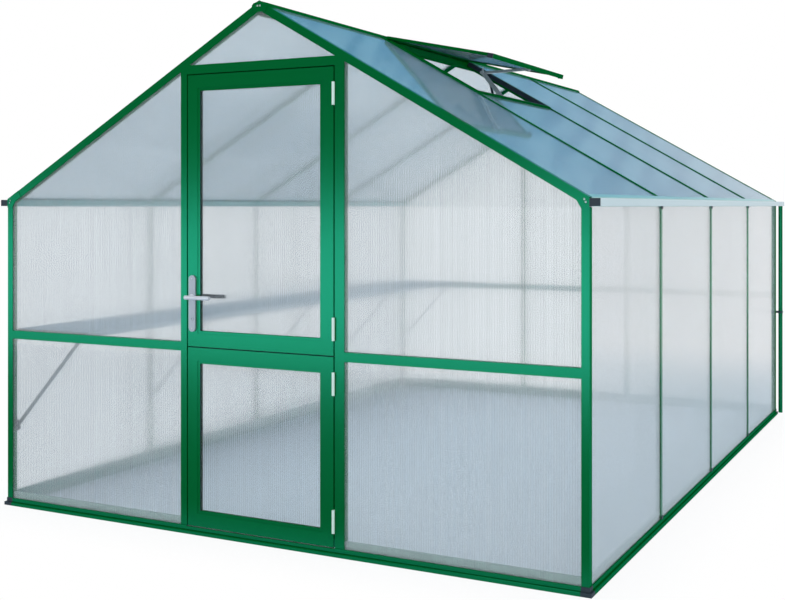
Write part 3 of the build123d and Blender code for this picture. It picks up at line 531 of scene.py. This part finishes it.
def sheetRibs(node, axis, material):
    # one upright web inside the sheet at every pitch, cut to the sheet's own outline
    low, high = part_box(node)
    across = Vector([1.0 if i == axis else 0.0 for i in range(3)])
    whole = bmesh.new()
    whole.from_mesh(frame["nodes"][node].data)
    bmesh.ops.remove_doubles(whole, verts=whole.verts, dist=ribs["weld"])
    corners, faces = [], []
    count = int((high[axis] - low[axis]) / ribs["pitch"])
    for i in range(count):
        position = low[axis] + (i + 0.5) * ribs["pitch"]
        cut = whole.copy()
        everything = cut.verts[:] + cut.edges[:] + cut.faces[:]
        made = bmesh.ops.bisect_plane(cut, geom=everything, plane_co=across * position, plane_no=across)
        edges = [part for part in made["geom_cut"] if isinstance(part, bmesh.types.BMEdge)]
        for loop in loopsOf(edges):
            faces.append(list(range(len(corners), len(corners) + len(loop))))
            corners += loop
        cut.free()
    whole.free()
    meshPiece(node + "_ribs", corners, faces, material, bodies[node])
    return len(faces)


def loopsOf(edges):
    # the closed outlines that the cut edges make, as lists of points
    left = set(edges)
    loops = []
    while left:
        edge = left.pop()
        start, at = edge.verts
        loop = [start.co[:], at.co[:]]
        while at is not start:
            following = next((e for e in at.link_edges if e in left), None)
            if following is None:
                break
            left.discard(following)
            at = following.other_vert(at)
            if at is not start:
                loop.append(at.co[:])
        loops.append(loop)
    return [loop for loop in loops if len(loop) > 2]


gableRibLook = ribPaint("GableRib", gableSheet)
doorRibLook = ribPaint("DoorRib", doorSheet)
wallRibLook = ribPaint("WallRib", wallSheet)
roofRibLook = ribPaint("RoofRib", roofSheet)
lidRibLook = ribPaint("LidRib", lidSheet)
ribJobs = {
    "front_sheets": (0, gableRibLook),
    "back_sheets": (0, gableRibLook),
    "upper_leaf_sheet": (0, doorRibLook),
    "lower_leaf_sheet": (0, doorRibLook),
    "left_wall_sheets": (1, wallRibLook),
    "right_wall_sheets": (1, wallRibLook),
    "left_roof_sheets": (1, roofRibLook),
    "right_roof_sheets": (1, roofRibLook),
    "window_sheet": (1, lidRibLook),
}
made = sum(sheetRibs(node, axis, look) for node, (axis, look) in ribJobs.items())
print("ribs:", made)


screws = {
    "radius": 0.0042,
    "dome": 0.0024,
    "socket": 0.0019,
    "segments": 24,
    "profile": ((1.0, 0.0), (1.0, 0.25), (0.92, 0.6), (0.7, 0.92), (0.5, 1.0)),
    "plateScale": 0.8,
    "plateInset": 0.014,
    "plateThickness": 0.008,
}
kneeScrews = [(side * x, z) for side in (-1, 1) for x, z in ((1.4508, 1.4841), (1.4563, 1.4732))]
apexScrews = [(-0.0025 + side * 0.0065, 2.3211) for side in (-1, 1)]


def domeHeads(name, places, facing, body, scale=1.0):
    # round heads with a six-sided socket, facing along -Y (facing -1) or +Y (facing 1)
    radius, dome, socket = (screws[key] * scale for key in ("radius", "dome", "socket"))
    segments = screws["segments"]
    rings = [(radius * wide, dome * high) for wide, high in screws["profile"]]
    corners, faces = [], []
    for x, y, z in places:
        first = len(corners)
        for r, out in rings:
            for i in range(segments):
                angle = 2 * math.pi * i / segments
                corners.append((x + r * math.cos(angle), y + facing * out, z + r * math.sin(angle)))
        for depth in (dome, dome * 0.2):
            for i in range(segments):
                corners.append(hexPoint(x, y + facing * depth, z, socket, 2 * math.pi * i / segments))
        for ring in range(len(rings) + 1):
            for i in range(segments):
                a, b = first + ring * segments + i, first + ring * segments + (i + 1) % segments
                quad = [a, b, b + segments, a + segments]
                faces.append(quad if facing < 0 else quad[::-1])
        last = first + (len(rings) + 1) * segments
        bottom = list(range(last, last + segments))
        faces.append(bottom if facing < 0 else bottom[::-1])
    return meshPiece(name, corners, faces, screwLook, body)


def hexPoint(x, y, z, flat, angle):
    # where a line at that angle meets a hexagon of that half width
    within = (angle % (math.pi / 3)) - math.pi / 6
    reach = flat / math.cos(within)
    return (x + reach * math.cos(angle), y, z + reach * math.sin(angle))


screwLook = screwMetal()
gussetLow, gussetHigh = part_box("gusset_plates")
for name, y, facing in (("front_gusset_screws", gussetLow.y, -1), ("back_gusset_screws", gussetHigh.y, 1)):
    places = [(x, y, z) for x, z in kneeScrews + apexScrews]
    domeHeads(name, places, facing, "building")

plateLow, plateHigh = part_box("handle_plates")
plateMiddle = (plateLow.x + plateHigh.x) / 2
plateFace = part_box("upper_leaf")[0].y - screws["plateThickness"]
plateEnds = plateLow.z + screws["plateInset"], plateHigh.z - screws["plateInset"]
plateScrews = [(plateMiddle, plateFace, z) for z in plateEnds]
domeHeads("plate_screws", plateScrews, -1, "upper_door", screws["plateScale"])


keySlot = {
    "height": 0.957,
    "radius": 0.0017,
    "roundUp": 0.002,
    "halfWidth": 0.0008,
    "down": 0.004,
    "proud": 0.0002,
    "depth": 0.001,
}


def keyhole():
    # a key slot with a round top, standing a little proud of the lock cylinder; its near-black is painted
    # shade for the hole
    x, y, z = plateMiddle, plateLow.y, keySlot["height"]
    radius, half, down = keySlot["radius"], keySlot["halfWidth"], keySlot["down"]
    angles = [math.radians(-60 + 15 * i) for i in range(21)]
    outline = [(radius * math.cos(a), radius * math.sin(a) + keySlot["roundUp"]) for a in angles]
    outline += [(-half, -down), (half, -down)]
    count = len(outline)
    ends = y - keySlot["proud"], y + keySlot["depth"]
    corners = [(x + u, end, z + w) for end in ends for u, w in outline]
    faces = [list(range(count))[::-1]]
    faces += [[i, (i + 1) % count, count + (i + 1) % count, count + i] for i in range(count)]
    return meshPiece("keyhole", corners, faces, paintedKeyholeShade(), "upper_door")


keyhole()

gapShadeSize = {"height": 0.003, "depth": 0.004, "shortOfLeaf": 0.006}


def gapShadeLip():
    # a dark lip along the lower leaf's inner top edge, which closes the sight line between the leaves:
    # painted shade, so that the gap reads dark
    low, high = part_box("lower_leaf")
    x0, x1 = low.x + gapShadeSize["shortOfLeaf"], high.x - gapShadeSize["shortOfLeaf"]
    points = [vertex.co for vertex in frame["nodes"]["lower_leaf"].data.vertices]
    y1 = max(point.y for point in points if point.z > high.z - sameFace)
    y0, z0, z1 = y1 - gapShadeSize["depth"], high.z, high.z + gapShadeSize["height"]
    corners = [(x, y, z) for x in (x0, x1) for y in (y0, y1) for z in (z0, z1)]
    faces = [[0, 1, 3, 2], [4, 6, 7, 5], [0, 4, 5, 1], [2, 3, 7, 6], [0, 2, 6, 4], [1, 5, 7, 3]]
    return meshPiece("gap_shade_lip", corners, faces, dark, "lower_door")


gapShadeLip()
print("screws, keyhole and gap shade lip placed")


# colours seen only by thrown-back rays are named mirrored; the halves are the footprint's, with a little room
studio = {
    "floor": (0.80, 0.88, 0.96),
    "floorWorn": (0.76, 0.84, 0.92),
    "floorReach": 40.0,
    "halfWidth": 1.48,
    "halfLength": 2.15,
    "sky": 1.0,
    "white": (1.0, 1.0, 1.0),
    "mirroredBehind": (0.14, 0.37, 0.53),
    "mirroredCloud": (0.03, 0.20, 0.36),
    "mirroredInFront": (0.03, 0.08, 0.10),
    "mirroredGround": (0.55, 0.66, 0.74),
}

lamps = {
    "overhead": {"place": (0.5, -1.0, 8.0), "aim": (0.0, 0.0, 0.0), "size": (9.0, 9.0), "power": 260.0},
    "strip": {"place": (0.0, -7.0, 0.65), "aim": (0.0, 0.0, 0.8), "size": (16.0, 1.6), "power": 300.0},
}


def mirroredRays(paint):
    # 1 for a ray that a glossy surface has thrown back, also where it then went through a sheet,
    # 0 for all others
    light = paint.node("ShaderNodeLightPath", out="Is Glossy Ray")
    thrown = Wire(paint, light.socket.node.outputs["Glossy Depth"])
    return light * paint.plain("MINIMUM", thrown, 1.0)


def plainRays(paint):
    # 1 for a ray straight from the camera or through a sheet, 0 for all others
    light = paint.node("ShaderNodeLightPath", out="Is Camera Ray")
    through = Wire(paint, light.socket.node.outputs["Is Transmission Ray"])
    return paint.plain("MAXIMUM", light, through)


def floor():
    # pale floor that runs out into the white background, keeping the building's shadow near it
    paint = Paint("PaleFloor")
    place = paint.place()
    x, y, z = paint.parts(place)
    pastSide = paint.plain("ABSOLUTE", x) - studio["halfWidth"]
    pastEnd = paint.plain("ABSOLUTE", y) - studio["halfLength"]
    distance = paint.plain("MAXIMUM", pastSide, pastEnd)
    grain = paint.noise(place, 3.0)
    ground = paint.principled(
        Base_Color=paint.mixed(grain * 0.3, studio["floor"], studio["floorWorn"]),
        Roughness=0.8,
        Specular_IOR_Level=0.1,
    )
    white = paint.glow(studio["white"])
    share = paint.ramp(distance, -0.02, 0.0, 0.0, 0.90) + paint.ramp(distance, 0.0, 0.4, 0.0, 0.10)
    seen = paint.blend(share * plainRays(paint), ground, white)
    # thrown-back rays see the floor as a glow, a painted reflection: near-black in front of the building, and
    # elsewhere grey near it as painted shade, fading to white further out
    beside = paint.blend(paint.ramp(distance, 0.2, 4.0), paint.glow(studio["mirroredGround"]), white)
    thrownBack = paint.blend(paint.ramp(y, -2.6, -2.2), paint.glow(studio["mirroredInFront"]), beside)
    material = paint.done(paint.blend(mirroredRays(paint), seen, thrownBack))
    reach = studio["floorReach"]
    corners = [(-reach, -reach, 0), (reach, -reach, 0), (reach, reach, 0), (-reach, reach, 0)]
    meshObject("floor", corners, [[0, 1, 2, 3]], material)


def sky():
    # white all round; thrown-back rays see a dark front and a blue, lightly clouded sky behind the building
    world = bpy.data.worlds.new("studio")
    bpy.context.scene.world = world
    world.use_nodes = True
    paint = Paint("studio", world.node_tree)
    direction = paint.node("ShaderNodeTexCoord", out="Generated")
    across = paint.parts(direction)
    behind = paint.ramp(across[1], -0.3, 0.3)
    high = paint.ramp(across[2], 0.02, 0.30)
    cloud = paint.ramp(paint.noise(direction, 60.0, 4.0), 0.42, 0.60)
    backdrop = paint.mixed(cloud, studio["mirroredBehind"], studio["mirroredCloud"])
    away = paint.mixed(high, studio["white"], backdrop)
    around = paint.mixed(behind, studio["mirroredInFront"], away)
    colour = paint.mixed(mirroredRays(paint), studio["white"], around)
    background = paint.node("ShaderNodeBackground", inputs={"Color": colour, "Strength": studio["sky"]})
    paint.node("ShaderNodeOutputWorld", inputs={"Surface": background})


def areaLamp(name):
    about = lamps[name]
    lamp = bpy.data.lights.new(name, "AREA")
    lamp.shape = "RECTANGLE"
    lamp.size, lamp.size_y = about["size"]
    lamp.energy = about["power"]
    piece = bpy.data.objects.new(name, lamp)
    bpy.context.scene.collection.objects.link(piece)
    piece.location = about["place"]
    toAim = Vector(about["aim"]) - Vector(about["place"])
    piece.rotation_euler = toAim.to_track_quat("-Z", "Y").to_euler()
    piece.visible_camera = False
    return piece


floor()
sky()
areaLamp("overhead")
strip = areaLamp("strip")
strip.visible_diffuse = False
strip.visible_transmission = False
print("studio ready")

lens = {
    "place": (2.7883, -6.3077, 1.4582),
    "turn": 27.23,
    "length": 53.05,
    "shift": (0.00045, -0.1198),
    "sensor": 36.0,
}
camera = bpy.data.cameras.new("camera")
camera.sensor_width = lens["sensor"]
camera.lens = lens["length"]
camera.shift_x, camera.shift_y = lens["shift"]
eye = bpy.data.objects.new("camera", camera)
eye.location = lens["place"]
eye.rotation_euler = (math.radians(90), 0, math.radians(lens["turn"]))
bpy.context.scene.collection.objects.link(eye)
bpy.context.scene.camera = eye
bpy.context.scene.view_settings.view_transform = "Standard"
bpy.context.scene.cycles.transparent_max_bounces = 32
bpy.context.scene.cycles.max_bounces = 14
bpy.context.scene.cycles.transmission_bounces = 14
